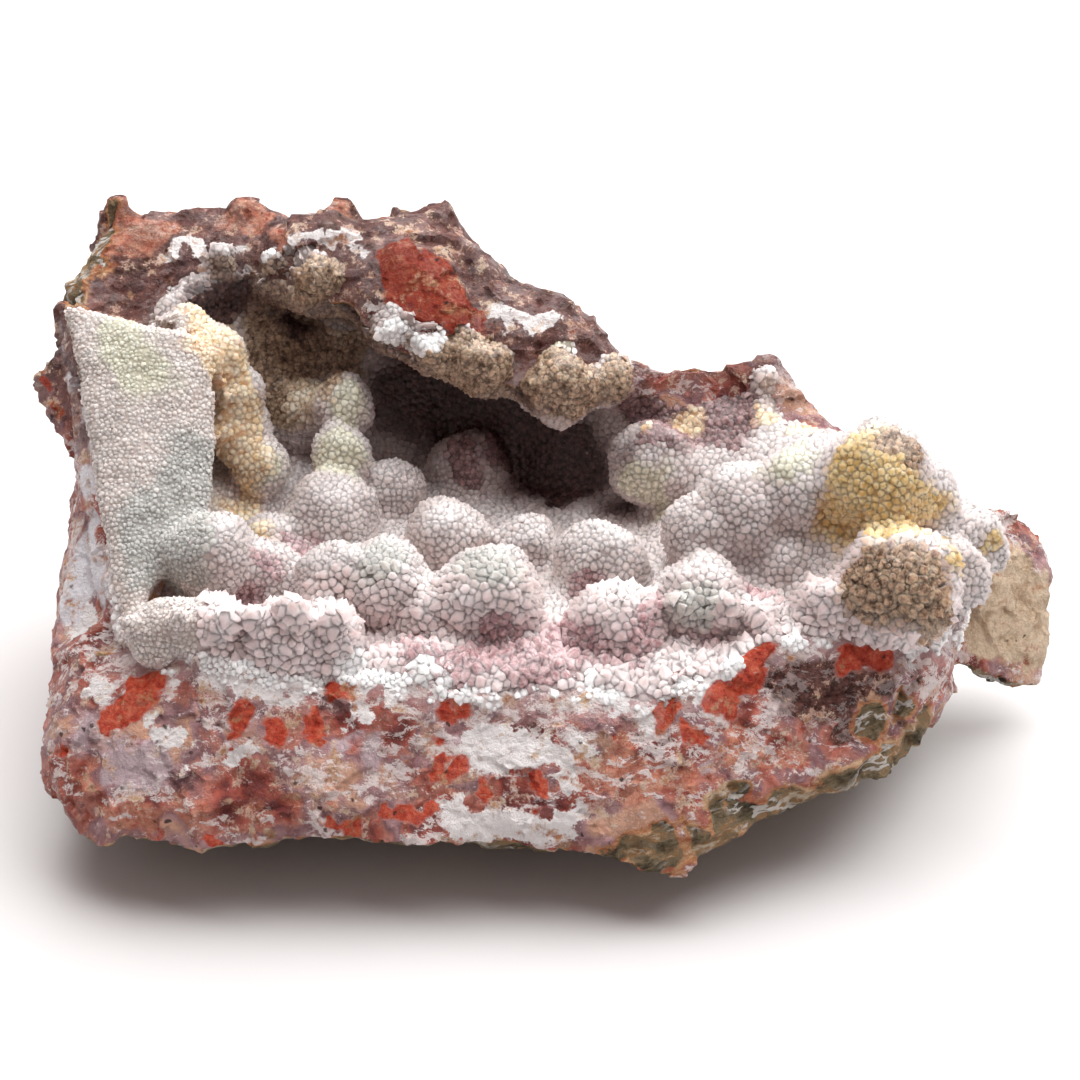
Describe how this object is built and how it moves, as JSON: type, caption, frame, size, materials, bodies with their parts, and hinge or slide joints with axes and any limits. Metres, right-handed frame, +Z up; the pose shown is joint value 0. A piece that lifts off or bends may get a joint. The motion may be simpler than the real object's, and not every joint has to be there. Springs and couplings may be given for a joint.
{
  "type": "chalcedony geode",
  "caption": "Broken chalcedony geode with a druzy quartz hollow under an overhanging roof, resting on the flat of its underside.",
  "frame": {"origin": "centre of the bounding box in plan, at the height of the flat the piece rests on", "axes": "+X along the piece from the slab at its left end to the tail at its right end, +Y from the broken front towards the back, +Z up out of the resting flat"},
  "size_m": [0.1076, 0.07, 0.0485],
  "materials": {
    "chalcedony": "broken chalcedony and jasper, waxy to dull",
    "druse": "coat of small quartz crystals, glittering"
  },
  "bodies": {
    "root": {"chalcedony_wall": "chalcedony", "crystal_crust": "druse"}
  },
  "joints": []
}
